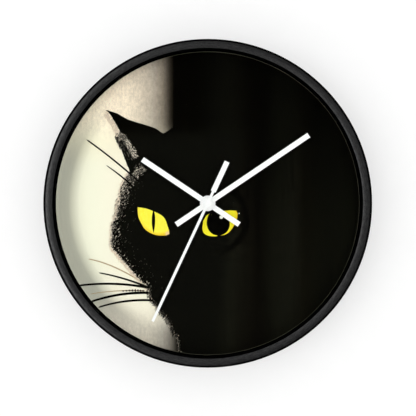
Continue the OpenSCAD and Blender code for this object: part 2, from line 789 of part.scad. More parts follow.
standing() frame_ring();
standing() lens();
standing() spacer_ring();
standing() dial_card();
standing() dial_print_black();
standing() dial_print_yellow();
standing() back_board();
standing() retaining_points();
standing() hanger_bracket();
standing() rubber_washer();
standing() brass_washer();
standing() shaft_nut();
standing() threaded_bush();
standing() movement_case();
standing() movement_front_plate();
standing() middle_plate();
standing() circuit_board();
standing() quartz_crystal();
standing() chip_cover();
standing() coil_bobbin();
standing() coil_winding();
standing() coil_core();
standing() stator();
standing() battery_contact_positive();
standing() battery_contact_negative();
standing() battery();
standing() rotor();
standing() rotor_magnet();
standing() intermediate_wheel();
standing() seconds_arbor();
standing() seconds_wheel();
standing() third_wheel();
standing() centre_wheel();
standing() cannon_pinion();
standing() minute_wheel();
standing() hour_wheel();
standing() setting_knob();
standing() hour_hand();
standing() minute_hand();
standing() second_hand();
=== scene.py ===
"""Looks for a round wall clock whose dial is printed with the face of a black cat.

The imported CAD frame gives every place. This file adds the materials, the printed fur, whiskers and eye
details of the dial, small moulded details, a pale wall and floor, soft lights and the camera.
"""

import math
import random
from collections import namedtuple

import bpy
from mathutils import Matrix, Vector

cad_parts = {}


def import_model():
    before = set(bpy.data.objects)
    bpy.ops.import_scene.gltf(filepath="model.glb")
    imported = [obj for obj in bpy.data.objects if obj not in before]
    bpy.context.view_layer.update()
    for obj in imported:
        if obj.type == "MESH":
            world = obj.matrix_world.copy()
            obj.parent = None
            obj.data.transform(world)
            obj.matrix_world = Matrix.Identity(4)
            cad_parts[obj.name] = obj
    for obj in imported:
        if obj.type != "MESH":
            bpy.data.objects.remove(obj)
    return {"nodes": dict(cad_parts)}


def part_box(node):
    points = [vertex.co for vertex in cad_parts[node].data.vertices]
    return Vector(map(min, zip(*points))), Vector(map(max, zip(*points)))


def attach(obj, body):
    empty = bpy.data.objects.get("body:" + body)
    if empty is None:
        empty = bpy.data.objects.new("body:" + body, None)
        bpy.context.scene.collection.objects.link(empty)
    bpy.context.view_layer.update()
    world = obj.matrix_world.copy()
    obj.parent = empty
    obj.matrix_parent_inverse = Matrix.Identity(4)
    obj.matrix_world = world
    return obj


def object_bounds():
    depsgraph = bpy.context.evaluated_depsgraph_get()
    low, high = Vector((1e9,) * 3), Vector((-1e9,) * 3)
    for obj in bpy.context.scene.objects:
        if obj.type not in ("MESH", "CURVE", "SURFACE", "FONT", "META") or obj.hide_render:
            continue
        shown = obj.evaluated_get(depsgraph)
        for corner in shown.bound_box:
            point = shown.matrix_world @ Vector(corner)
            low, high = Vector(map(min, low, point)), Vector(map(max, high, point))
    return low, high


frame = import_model()
cad_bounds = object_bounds()
nodes = frame["nodes"]
MM = 0.001
ALL_ROUND = 2 * math.pi


def srgb(red, green, blue):
    """The linear colour of an sRGB colour given from 0 to 255."""
    levels = [level / 255 for level in (red, green, blue)]
    linear = [v / 12.92 if v <= 0.04045 else ((v + 0.055) / 1.055) ** 2.4 for v in levels]
    return (*linear, 1.0)


class Graph:
    """The node graph of a new material, or of a given world, with one short call for each node."""

    def __init__(self, name, owner=None):
        self.owner = owner or bpy.data.materials.new(name)
        self.owner.use_nodes = True
        self.tree = self.owner.node_tree
        self.tree.nodes.clear()

    def feed(self, socket, value):
        """Links or sets one input."""
        if isinstance(value, bpy.types.NodeSocket):
            self.tree.links.new(value, socket)
        else:
            socket.default_value = value

    def node(self, kind, inputs=None, **settings):
        """A new shader node with its inputs fed and its settings set."""
        made = self.tree.nodes.new("ShaderNode" + kind)
        for key, value in settings.items():
            setattr(made, key, value)
        for key, value in (inputs or {}).items():
            self.feed(made.inputs[key], value)
        return made

    def math(self, operation, a, b=0.0):
        return self.node("Math", {0: a, 1: b}, operation=operation).outputs[0]

    def plus(self, a, b):
        return self.math("ADD", a, b)

    def minus(self, a, b):
        return self.math("SUBTRACT", a, b)

    def times(self, a, b):
        return self.math("MULTIPLY", a, b)

    def between(self, value, low, high, start=0.0, end=1.0):
        """start below low, end above high, and a smooth step from one to the other."""
        step = {"Value": value, "From Min": low, "From Max": high, "To Min": start, "To Max": end}
        return self.node("MapRange", step, interpolation_type="SMOOTHSTEP").outputs[0]

    def line(self, value, low, high):
        """0 below low, 1 above high, and a straight line from one to the other."""
        return self.node("MapRange", {"Value": value, "From Min": low, "From Max": high}).outputs[0]

    def mix(self, factor, a, b, blend="MIX"):
        """Colour a at factor 0 and b at factor 1."""
        made = self.node("Mix", data_type="RGBA", blend_type=blend)
        self.feed(made.inputs[0], factor)
        self.feed(made.inputs[6], a)
        self.feed(made.inputs[7], b)
        return made.outputs[2]

    def tint(self, a, b):
        """One colour times another."""
        return self.mix(1.0, a, b, "MULTIPLY")

    def ramp(self, value, stops, interpolation="LINEAR"):
        """Colours along value; each stop is a place from 0 to 1 and a colour."""
        made = self.node("ValToRGB", {"Fac": value})
        made.color_ramp.interpolation = interpolation
        elements = made.color_ramp.elements
        elements.remove(elements[-1])
        for index, (place, colour) in enumerate(stops):
            element = elements[0] if index == 0 else elements.new(place)
            element.position = place
            element.color = colour
        return made.outputs[0]

    def place(self, stretch=(1, 1, 1)):
        """Where the surface is, in millimetres in the part's own frame, times a stretch for each axis."""
        where = self.node("TexCoord").outputs["Object"]
        scale = [s / MM for s in stretch]
        return self.node("VectorMath", {0: where, 1: scale}, operation="MULTIPLY").outputs[0]

    def dial_place(self):
        """Right and up from the hands' axis, and the distance from it, in millimetres."""
        axes = self.node("SeparateXYZ", {0: self.place()})
        x, y = axes.outputs["X"], axes.outputs["Z"]
        squares = self.plus(self.times(x, x), self.times(y, y))
        return x, y, self.math("SQRT", squares)

    def from_point(self, x, y, wide=1.0, tall=1.0):
        """The distance on the dial from (x, y), in mm, or as a share of an ellipse's half sizes."""
        where = self.place((1 / wide, 0, 1 / tall))
        centre = (x / wide, 0, y / tall)
        return self.node("VectorMath", {0: where, 1: centre}, operation="DISTANCE").outputs["Value"]

    def noise(self, scale, stretch=(1, 1, 1), detail=2.0, roughness=0.5, where=None):
        """Smooth noise around 0.5, with about scale features in each millimetre."""
        where = self.place(stretch) if where is None else where
        inputs = {"Vector": where, "Scale": scale, "Detail": detail, "Roughness": roughness}
        return self.node("TexNoise", inputs).outputs[0]

    def finish(self, colour, roughness, bump=None, height=0.0, edge=0.0, **principled):
        """Ends the graph. bump is a height from 0 to 1, height its size and edge a rounding, in mm."""
        inputs = {"Base Color": colour, "Roughness": roughness}
        inputs.update({key.replace("_", " "): value for key, value in principled.items()})
        shader = self.node("BsdfPrincipled", inputs)
        normal = None
        if edge:
            normal = self.node("Bevel", {"Radius": edge * MM}, samples=6).outputs[0]
        if bump is not None:
            relief = self.node("Bump", {"Height": bump, "Distance": height * MM, "Strength": 1.0})
            if normal is not None:
                self.feed(relief.inputs["Normal"], normal)
            normal = relief.outputs[0]
        if normal is not None:
            self.feed(shader.inputs["Normal"], normal)
        self.node("OutputMaterial", {"Surface": shader.outputs[0]})
        return self.owner


# ---- the dial's print ----
# mm from the edge of the black print to the ring's opening
PRINT_MARGIN = 0.4
# Brightness of the card and of the black print, and the sheen of both
CARD_GAIN = 0.955
INK_GAIN = 0.76
INK_SHINE = 0.0
# Middles, in mm from the hands' axis, of the round pupil and of the pale inner corner of the slit eye
ROUND_PUPIL = (8.4, -16.4)
EYE_CORNER = (-31, -24.2)


def dial_card():
    """Pale cream card that fades into the dark ground, with a soft shade along its left rim."""
    g = Graph("dial_card")
    x, y, radius = g.dial_place()
    cream = g.ramp(g.line(y, -120, 120), [
        (0.0, (0.98, 0.945, 0.85, 1)),
        (0.1, (0.98, 0.96, 0.87, 1)),
        (0.2, (0.98, 0.975, 0.88, 1)),
        (0.62, (0.98, 0.972, 0.872, 1)),
        (0.7, (0.99, 0.97, 0.85, 1)),
        (0.78, (0.99, 0.94, 0.83, 1)),
        (0.86, (0.985, 0.93, 0.82, 1)),
        (1.0, (0.96, 0.91, 0.815, 1)),
    ])
    steepness = g.between(y, -40, 40, 1.6, 1.0)
    shifted = g.plus(g.times(x, steepness), g.between(y, -40, 40, 9.5, 0.0))
    fade = g.ramp(g.line(shifted, -80, -20), [
        (0.0, (1, 1, 1, 1)),
        (0.25, (0.97, 0.97, 0.97, 1)),
        (0.42, (0.87, 0.87, 0.875, 1)),
        (0.57, (0.745, 0.745, 0.755, 1)),
        (0.65, (0.65, 0.65, 0.66, 1)),
        (0.72, (0.54, 0.54, 0.54, 1)),
        (0.78, (0.4, 0.395, 0.395, 1)),
        (0.84, (0.2, 0.197, 0.19, 1)),
        (0.9, (0.045, 0.042, 0.04, 1)),
    ])
    fade_on = g.math("MAXIMUM", g.between(y, 30, 66), g.between(y, -80, -100))
    shade = g.ramp(g.line(radius, 96, 120), [
        (0.0, (1, 1, 1, 1)),
        (0.21, (0.975, 0.975, 0.975, 1)),
        (0.33, (0.905, 0.905, 0.905, 1)),
        (0.46, (0.83, 0.83, 0.83, 1)),
        (0.58, (0.74, 0.74, 0.745, 1)),
        (0.71, (0.755, 0.755, 0.765, 1)),
        (0.85, (0.82, 0.82, 0.83, 1)),
        (0.93, (0.9, 0.9, 0.91, 1)),
        (1.0, (0.95, 0.95, 0.96, 1)),
    ])
    shade_on = g.times(g.between(y, 85, 30), g.between(y, -108, -70, 0.4, 1.0))
    fine = g.noise(0.62, (1, 1, 0.62), detail=3.0, roughness=0.75)
    fibre = g.noise(0.5, (1, 1, 0.12))
    grain_size = g.math("MAXIMUM", g.between(y, 40, 80, 0.05, 0.52), g.between(y, -80, -100, 0.05, 0.36))
    wobble = g.plus(g.times(fine, 0.8), g.times(fibre, 0.2))
    grain = g.plus(1.0, g.times(g.minus(wobble, 0.5), grain_size))
    cream = g.mix(g.between(x, -92, -72), cream, g.tint(cream, (1.0, 0.985, 0.99, 1)))
    tone = g.mix(fade_on, cream, g.tint(cream, fade))
    tone = g.mix(shade_on, tone, g.tint(tone, shade))
    tone = g.tint(tone, grain)
    # the tones so far are display values
    linear = g.node("Gamma", {"Color": tone, "Gamma": 2.2}).outputs[0]
    # painted shade: on the dark side, the thin unprinted rim of the card by the lip is coloured dim
    # grey-brown instead of cream, for the lip's shadow
    shaded_margin = g.times(g.between(radius, 118.8, 119.1), g.between(x, -40, -20))
    linear = g.mix(shaded_margin, linear, srgb(84, 82, 70))
    # painted light: the card's upper left, inside the lip, is made up to a tenth brighter to offset the
    # lip's real shade there
    corner = g.times(g.between(y, 35, 65), g.between(radius, 82, 104))
    linear = g.tint(linear, g.plus(CARD_GAIN, g.times(corner, 0.1)))
    paper = g.noise(2.5, detail=3.0)
    return g.finish(linear, 0.62, paper, 0.012, Specular_IOR_Level=INK_SHINE)


def black_ink():
    """Near-black print with faint upright streaks, a softer face and a few pale specks."""
    g = Graph("black_ink")
    x, y, _ = g.dial_place()
    streaks = g.ramp(g.line(x, -30, 120), [
        (0.0, srgb(8, 7, 4)),
        (0.14, srgb(8, 7, 4)),
        (0.23, srgb(12, 12, 8)),
        (0.31, srgb(15, 15, 10)),
        (0.39, srgb(12, 11, 7)),
        (0.46, srgb(7, 6, 4)),
        (0.55, srgb(11, 11, 7)),
        (0.63, srgb(15, 15, 10)),
        (0.71, srgb(11, 10, 6)),
        (0.79, srgb(8, 8, 5)),
        (0.88, srgb(11, 11, 7)),
        (1.0, srgb(10, 10, 6)),
    ])
    upright = g.noise(0.12, (1, 1, 0.06), detail=4.0, roughness=0.6)
    broken = g.noise(0.35, (1, 1, 0.25), detail=5.0, roughness=0.65)
    weight = g.plus(g.times(upright, 1.1), g.times(broken, 0.9))
    weight = g.times(weight, g.between(y, -50, 90, 1.9, 0.8))
    ground = g.tint(streaks, weight)
    face_side = g.between(g.minus(x, g.times(y, 0.12)), 26, 14)
    face_on = g.times(face_side, g.between(y, 62, 48))
    fur = g.noise(0.8, (1, 1, 0.5), detail=4.0, roughness=0.7)
    face = g.mix(fur, srgb(9, 9, 7), srgb(21, 21, 16))
    tone = g.mix(face_on, ground, face)
    from_cheek = g.from_point(4, -12)
    shadow = g.times(g.between(from_cheek, 22, 26), g.between(from_cheek, 31, 27))
    shadow = g.times(shadow, g.between(x, 8, 20))
    tone = g.mix(g.times(shadow, 0.75), tone, srgb(4, 4, 3))
    pupil = g.between(g.from_point(*ROUND_PUPIL), 9.4, 8.4, 0.0, 0.7)
    tone = g.mix(pupil, tone, srgb(3, 3, 2))
    cells = g.node("TexVoronoi", {"Vector": g.place(), "Scale": 0.16, "Randomness": 1.0})
    keep = g.math("GREATER_THAN", g.noise(0.08, detail=0.0), 0.62)
    speck = g.times(g.between(cells.outputs["Distance"], 0.06, 0.02), keep)
    tone = g.mix(g.times(speck, 0.5), tone, srgb(70, 72, 66))
    tone = g.tint(tone, (INK_GAIN, INK_GAIN, INK_GAIN, 1))
    return g.finish(tone, 0.55, fur, 0.01, Specular_IOR_Level=INK_SHINE)


def eye_ink():
    """Bright yellow, deeper along the outer edges, with faint fibres around each pupil."""
    g = Graph("eye_ink")
    x, y, _ = g.dial_place()
    inner = g.between(x, -20, -10)
    left_out = g.from_point(-38, -5, 17.2, 20.4)
    right_out = g.from_point(8.5, -11, 15, 15)
    left_rim = g.times(g.between(left_out, 0.84, 1.02), g.between(y, -12, -24, 0.4, 1.2))
    right_rim = g.times(g.between(right_out, 0.8, 1.05), g.between(x, 8, 18))
    rim = g.plus(g.times(left_rim, g.minus(1.0, inner)), g.times(right_rim, inner))
    fibre = g.noise(0.7, (1, 1, 0.35), detail=4.0)
    bright = g.mix(fibre, srgb(249, 232, 42), srgb(252, 245, 96))
    bright = g.mix(inner, bright, g.mix(fibre, srgb(238, 222, 24), srgb(246, 238, 66)))
    tone = g.mix(g.times(rim, 0.6), bright, srgb(236, 176, 30))
    corner = g.between(g.from_point(*EYE_CORNER), 3.2, 1.2, 0.0, 0.7)
    tone = g.mix(corner, tone, srgb(240, 206, 170))
    return g.finish(tone, 0.5, fibre, 0.01, Specular_IOR_Level=INK_SHINE)


# ---- the other materials ----
def lacquer():
    """Satin black lacquer on the frame: fine grain that runs around the ring, and small specks."""
    g = Graph("black_lacquer")
    x, y, radius = g.dial_place()
    low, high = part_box("frame_ring")
    depth = g.minus(g.node("SeparateXYZ", {0: g.place()}).outputs["Y"], low.y / MM)
    around = g.node("CombineXYZ", {
        "X": g.math("DIVIDE", x, radius),
        "Y": g.math("DIVIDE", y, radius),
        "Z": g.times(g.minus(radius, depth), 0.035),
    }).outputs[0]
    grain = g.noise(34, detail=4.0, roughness=0.65, where=around)
    speck = g.noise(2.0, detail=3.0, roughness=0.75)
    pores = g.plus(g.times(grain, 0.5), g.times(speck, 0.5))
    tone = g.mix(pores, srgb(5, 5, 6), srgb(16, 16, 17))
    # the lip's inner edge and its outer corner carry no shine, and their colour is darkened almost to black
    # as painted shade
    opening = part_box("dial_print_black")[1].x / MM + PRINT_MARGIN
    rim = high.x / MM
    inside = g.between(radius, opening + 0.55, opening + 0.15)
    outside = g.times(g.between(radius, rim - 2.5, rim - 1.3), g.between(depth, 2.6, 1.6))
    dull_shaded_edges = g.math("MAXIMUM", inside, outside)
    tone = g.mix(dull_shaded_edges, tone, srgb(1, 1, 1))
    gloss = g.between(pores, 0.3, 0.7, 0.28, 0.38)
    gloss = g.plus(gloss, g.times(dull_shaded_edges, 0.5))
    level = g.times(g.between(pores, 0.36, 0.64, 0.26, 0.8), g.minus(1.0, dull_shaded_edges))
    return g.finish(tone, gloss, pores, 0.03, edge=0.35, Specular_IOR_Level=level)


def clear_lens():
    """Clear sheet: the dial shows straight through it, and it only shines at a slant."""
    g = Graph("clear_lens")
    slant = g.node("LayerWeight", {"Blend": 0.5}).outputs["Facing"]
    streak = g.noise(0.02, detail=2.0)
    shine = g.times(g.math("POWER", slant, 4.0), g.between(streak, 0.3, 0.7, 0.45, 0.55))
    clear = g.node("BsdfTransparent", {"Color": (0.985, 0.99, 0.988, 1)})
    gloss = g.node("BsdfGlossy", {"Color": (1, 1, 1, 1), "Roughness": 0.03})
    both = g.node("MixShader", {0: shine, 1: clear.outputs[0], 2: gloss.outputs[0]})
    g.node("OutputMaterial", {"Surface": both.outputs[0]})
    g.owner.surface_render_method = "BLENDED"
    return g.owner


def white_lacquer():
    """White sprayed metal hands with a very faint orange peel."""
    g = Graph("white_lacquer")
    peel = g.noise(0.9, detail=2.0)
    tone = g.mix(peel, srgb(244, 244, 243), srgb(251, 251, 251))
    return g.finish(tone, 0.42, peel, 0.01, edge=0.08, Specular_IOR_Level=0.2)


def moulded(name, dark, light, roughness=0.5, texture=0.02, size=6.0, edge=0.12, **extra):
    """Moulded plastic, rubber or soft strip with a fine spark texture."""
    g = Graph(name)
    spark = g.noise(size, detail=3.0, roughness=0.6)
    cloud = g.noise(0.08, detail=2.0)
    tone = g.mix(g.plus(g.times(spark, 0.4), g.times(cloud, 0.6)), dark, light)
    gloss = g.between(spark, 0.3, 0.7, roughness - 0.05, roughness + 0.08)
    return g.finish(tone, gloss, spark, texture, edge=edge, **extra)


def metal(name, dark, light, roughness=0.3, brush=(1, 1, 1), scale=1.5):
    """Bare or plated metal: brushed along the axis whose stretch is smallest, with dull patches."""
    g = Graph(name)
    lines = g.noise(scale, brush, detail=4.0, roughness=0.6)
    dull = g.noise(0.15, detail=4.0, roughness=0.6)
    tone = g.mix(g.plus(g.times(lines, 0.5), g.times(dull, 0.5)), dark, light)
    gloss = g.between(dull, 0.35, 0.7, roughness - 0.06, roughness + 0.14)
    return g.finish(tone, gloss, lines, 0.01, edge=0.08, Metallic=1.0)


def turned_brass():
    """Brass turned on a lathe: fine rings around the clock's axis."""
    g = Graph("turned_brass")
    _, _, radius = g.dial_place()
    rings = g.times(g.plus(g.math("SINE", g.times(radius, 42.0)), 1.0), 0.5)
    dull = g.noise(0.6, detail=4.0)
    tone = g.mix(dull, srgb(176, 138, 62), srgb(222, 188, 108))
    return g.finish(tone, g.between(dull, 0.3, 0.7, 0.2, 0.36), rings, 0.012, edge=0.1, Metallic=1.0)


def hardboard():
    """Pressed-fibre board: matted fibres, dark flecks and the woven mark of the press screen."""
    g = Graph("hardboard")
    fibre = g.noise(0.9, (1, 1, 0.7), detail=6.0, roughness=0.7)
    flecks = g.noise(1.2, (1, 1, 0.4), detail=4.0)
    cloud = g.noise(0.03, detail=3.0)
    axes = g.node("SeparateXYZ", {0: g.place((3.2, 1, 3.2))})
    weave = g.times(g.math("SINE", axes.outputs["X"]), g.math("SINE", axes.outputs["Z"]))
    tone = g.mix(fibre, srgb(92, 62, 38), srgb(158, 116, 76))
    tone = g.mix(g.between(flecks, 0.62, 0.72, 0.0, 0.55), tone, srgb(58, 38, 24))
    tone = g.mix(g.between(cloud, 0.35, 0.65, 0.0, 0.12), tone, srgb(172, 132, 92))
    relief = g.plus(g.times(weave, 0.3), g.times(fibre, 0.7))
    return g.finish(tone, 0.72, relief, 0.09, Specular_IOR_Level=0.3)


def circuit():
    """Green board with solder mask, copper tracks showing through it and bright pads."""
    g = Graph("circuit_board")
    cells = g.node("TexVoronoi", {"Vector": g.place(), "Scale": 0.42}, distance="MANHATTAN", feature="F1")
    track = g.between(cells.outputs["Distance"], 0.42, 0.5)
    pads = g.between(cells.outputs["Distance"], 0.16, 0.1)
    grain = g.noise(3.0, detail=2.0)
    tone = g.mix(grain, srgb(22, 84, 44), srgb(30, 104, 56))
    tone = g.mix(g.times(track, 0.6), tone, srgb(60, 140, 84))
    tone = g.mix(pads, tone, srgb(196, 190, 170))
    return g.finish(tone, 0.32, g.plus(track, pads), 0.03)


def copper_winding():
    """Fine enamelled wire laid side by side around the bobbin."""
    g = Graph("copper_winding")
    axes = g.node("SeparateXYZ", {0: g.place()})
    turns = g.plus(g.math("SINE", g.times(axes.outputs["X"], 48.0)), 1.0)
    wire = g.times(turns, 0.5)
    dull = g.noise(0.8, detail=3.0)
    tone = g.mix(g.times(g.plus(wire, dull), 0.5), srgb(112, 44, 20), srgb(204, 108, 62))
    return g.finish(tone, 0.32, wire, 0.05, Metallic=0.9)


def battery_sleeve():
    """Shrink sleeve in two plain colours with a thin band between them, and bare metal at both ends."""
    g = Graph("battery_sleeve")
    low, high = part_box("battery")
    length = (high.x - low.x) / MM
    along = g.minus(g.node("SeparateXYZ", {0: g.place()}).outputs["X"], low.x / MM)
    share = g.math("DIVIDE", along, length)
    tone = g.ramp(share, [
        (0.0, srgb(30, 42, 62)),
        (0.58, srgb(196, 152, 74)),
        (0.6, srgb(226, 226, 222)),
        (0.615, srgb(196, 152, 74)),
    ], "CONSTANT")
    scuff = g.noise(0.7, detail=5.0, roughness=0.7)
    tone = g.mix(g.between(scuff, 0.55, 0.8, 0.0, 0.3), tone, srgb(150, 150, 148))
    ends = g.math("MAXIMUM", g.math("LESS_THAN", share, 0.012), g.math("GREATER_THAN", share, 0.968))
    tone = g.mix(ends, tone, srgb(190, 192, 196))
    return g.finish(tone, g.between(scuff, 0.3, 0.7, 0.22, 0.36), scuff, 0.01, edge=0.15, Metallic=ends)


def dress(material, *names):
    """Gives the named CAD nodes a material."""
    for name in names:
        slots = nodes[name].data.materials
        slots.clear()
        slots.append(material)


def dress_all():
    """Every CAD node's material."""
    dress(dial_card(), "dial_card")
    dress(black_ink(), "dial_print_black")
    dress(eye_ink(), "dial_print_yellow")
    dress(lacquer(), "frame_ring")
    dress(clear_lens(), "lens")
    dress(white_lacquer(), "hour_hand", "minute_hand", "second_hand")
    black = moulded("black_strip", srgb(1, 1, 1), srgb(6, 6, 6), 0.8, edge=0, Specular_IOR_Level=0.0)
    dress(black, "spacer_ring")
    case = moulded("black_plastic", srgb(22, 22, 24), srgb(40, 40, 43), 0.48, 0.03, 4.0)
    dress(case, "movement_case", "movement_front_plate")
    natural = moulded("natural_plastic", srgb(206, 200, 182), srgb(232, 228, 214), 0.42)
    dress(natural, "middle_plate", "coil_bobbin", "rotor")
    dress(moulded("ivory_knob", srgb(164, 158, 138), srgb(196, 190, 172), 0.45, 0.02, 4.0), "setting_knob")
    acetal = moulded("white_acetal", srgb(222, 219, 206), srgb(240, 238, 228), 0.34, 0.006)
    dress(acetal, "intermediate_wheel", "seconds_wheel", "third_wheel", "centre_wheel",
          "cannon_pinion", "minute_wheel", "hour_wheel")
    dress(moulded("black_rubber", srgb(18, 18, 18), srgb(34, 34, 33), 0.75, 0.03), "rubber_washer")
    dress(moulded("black_epoxy", srgb(8, 8, 9), srgb(16, 16, 18), 0.14, 0.004, 1.0), "chip_cover")
    dress(turned_brass(), "brass_washer", "shaft_nut", "threaded_bush")
    dress(hardboard(), "back_board")
    zinc = metal("zinc_steel", srgb(150, 154, 160), srgb(206, 208, 210), 0.32, (1, 1, 0.1))
    dress(zinc, "hanger_bracket")
    dress(metal("spring_steel", srgb(128, 130, 134), srgb(188, 189, 192)),
          "retaining_points", "seconds_arbor")
    dress(metal("soft_iron", srgb(96, 99, 104), srgb(158, 160, 165), 0.42, (0.2, 1, 1)),
          "stator", "coil_core")
    dress(metal("nickel", srgb(176, 176, 172), srgb(222, 221, 216), 0.24, (0.2, 1, 1)),
          "battery_contact_positive", "battery_contact_negative", "quartz_crystal")
    dress(metal("magnet", srgb(52, 53, 56), srgb(92, 93, 97), 0.46, scale=2.5), "rotor_magnet")
    dress(circuit(), "circuit_board")
    dress(copper_winding(), "coil_winding")
    dress(battery_sleeve(), "battery")


# ---- meshes for the printed fur, whiskers and eyes ----
# The body that every added piece rides on
HOME = "clock_body"
# Height in mm of a printed strand's ridge over its flat back
RIDGE = 0.04

# A straight piece of the cat's outline: its two ends, its outward way and its length, in mm
Wall = namedtuple("Wall", "start end way length")
# How hairs lie: the lean in degrees, the share of it against the way of their place, and a random turn
Lay = namedtuple("Lay", "lean share spread")


def new_piece(name, points, faces, material):
    """A mesh object in the scene, from points in metres."""
    mesh = bpy.data.meshes.new(name)
    mesh.from_pydata(points, [], faces)
    mesh.materials.append(material)
    made = bpy.data.objects.new(name, mesh)
    bpy.context.scene.collection.objects.link(made)
    return made


def dial_level(out=0.0):
    """The y of the black print's face, or of a place that is out mm in front of it."""
    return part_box("dial_print_black")[0].y - out * MM


class Strands:
    """Many thin tapered strands in one mesh. Each is a closed sliver with a flat back and a ridge."""

    def __init__(self, name, material, level):
        self.name, self.material, self.level = name, material, level
        self.points, self.faces = [], []

    def add(self, path, widths):
        """path is the centre line's points (x, y) in mm, widths the width at each but the last, the tip."""
        base = len(self.points)
        rows = len(widths)
        for index in range(rows):
            ax, ay = path[index]
            bx, by = path[index + 1]
            run = math.hypot(bx - ax, by - ay) or 1.0
            side_x, side_y = -(by - ay) / run, (bx - ax) / run
            half = widths[index] / 2
            for offset, lift in ((half, 0.0), (-half, 0.0), (0.0, RIDGE)):
                self.points.append((ax + side_x * offset, ay + side_y * offset, lift))
        self.points.append((*path[rows], 0.0))
        self.faces.append((base, base + 1, base + 2))
        for row in range(rows - 1):
            for edge in range(3):
                a = base + row * 3 + edge
                b = base + row * 3 + (edge + 1) % 3
                self.faces.append((a, a + 3, b + 3, b))
        last = base + (rows - 1) * 3
        tip = base + rows * 3
        for edge in range(3):
            self.faces.append((last + edge, tip, last + (edge + 1) % 3))

    def build(self, slot):
        points = [(x * MM, self.level - lift * MM, y * MM) for x, y, lift in self.points]
        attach(new_piece(self.name, points, self.faces, self.material), HOME)


def bent(start, middle, end, count):
    """Points along the smooth curve from start to end that passes through middle."""
    pull = [2 * m - (a + b) / 2 for a, m, b in zip(start, middle, end)]
    path = []
    for index in range(count + 1):
        t = index / count
        path.append(tuple(
            (1 - t) ** 2 * a + 2 * t * (1 - t) * c + t * t * b for a, c, b in zip(start, pull, end)
        ))
    return path


def hair_material(name, dark, light):
    """Matt print that varies a little from hair to hair."""
    g = Graph(name)
    shade = g.noise(1.2, detail=3.0)
    return g.finish(g.mix(shade, dark, light), 0.6, shade, 0.005, Specular_IOR_Level=INK_SHINE)


def outline_walls():
    """The walls of the black film along the cat's outline: not those of its rim, bore and eyes."""
    film = nodes["dial_print_black"].data
    eye_low, eye_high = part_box("dial_print_yellow")
    rim, bore = 118, 8
    walls = []
    for face in film.polygons:
        if abs(face.normal.y) > 0.5:
            continue
        ends = sorted({(round(film.vertices[v].co.x / MM, 3), round(film.vertices[v].co.z / MM, 3))
                       for v in face.vertices})
        a, b = ends[0], ends[-1]
        x, y = (a[0] + b[0]) / 2, (a[1] + b[1]) / 2
        in_eyes = eye_low.x - MM < x * MM < eye_high.x + MM and eye_low.z - MM < y * MM < eye_high.z + MM
        if bore <= math.hypot(x, y) <= rim and not in_eyes:
            walls.append(Wall(a, b, (face.normal.x, face.normal.z), math.dist(a, b)))
    return walls


def stretch_of(walls, left=-math.inf, right=math.inf, low=-math.inf, high=math.inf):
    """The walls that start between left and right and between low and high, in mm."""
    return [w for w in walls if left < w.start[0] < right and low < w.start[1] <= high]


def edge_places(walls, per_mm, depth, bunched=1.0):
    """Seeded places along walls, between two depths inside them: (x, y, way out).

    bunched above 1 draws the places towards the first depth.
    """
    for a, b, way, length in walls:
        wanted = length * per_mm / 2
        count = int(wanted) + (random.random() < wanted % 1)
        for _ in range(count):
            t = random.random()
            inside = depth[0] + (depth[1] - depth[0]) * random.random() ** bunched
            x, y = a[0] + (b[0] - a[0]) * t, a[1] + (b[1] - a[1]) * t
            yield x - way[0] * inside, y - way[1] * inside, way


def band_places(start, middle, end, wide, count):
    """Seeded places spread to both sides of a smooth curve: (x, y, way along it).

    wide is the spread at the curve's start and at its end.
    """
    parts = 8
    path = bent(start, middle, end, parts)
    for _ in range(count):
        share = random.random()
        index = min(int(share * parts), parts - 1)
        (ax, ay), (bx, by) = path[index], path[index + 1]
        run = math.dist(path[index], path[index + 1])
        way = ((bx - ax) / run, (by - ay) / run)
        t = share * parts - index
        side = random.gauss(0, wide[0] + (wide[1] - wide[0]) * share)
        yield ax + (bx - ax) * t - way[1] * side, ay + (by - ay) * t + way[0] * side, way


def lying_angle(way, lay):
    """The direction in degrees between a way and the lay's lean."""
    x = way[0] * (1 - lay.share) + math.cos(math.radians(lay.lean)) * lay.share
    y = way[1] * (1 - lay.share) + math.sin(math.radians(lay.lean)) * lay.share
    return math.degrees(math.atan2(y, x))


def hair(strands, x, y, angle, length, width, curl):
    """One three-part hair that starts at (x, y) and leaves at angle, in degrees, turning by curl."""
    path = [(x, y)]
    for part in range(3):
        turn = math.radians(angle + curl * part)
        x += math.cos(turn) * length / 3
        y += math.sin(turn) * length / 3
        path.append((x, y))
    strands.add(path, (width, width * 0.85, width * 0.55))


def coat(places, tones, lay, length, width, clump=1):
    """Hairs at places. tones gives each strands' weight; clump hairs fan out from each place."""
    fan_turn, curl = 15, 10
    for x, y, way in places:
        tone = random.choices(list(tones), list(tones.values()))[0]
        angle = lying_angle(way, lay) + random.uniform(-lay.spread, lay.spread)
        long = random.uniform(*length)
        for fan in range(clump):
            turn = angle + (fan - (clump - 1) / 2) * fan_turn
            hair(tone, x, y, turn, long * random.uniform(0.8, 1.1), random.uniform(*width),
                 random.uniform(-curl, curl))


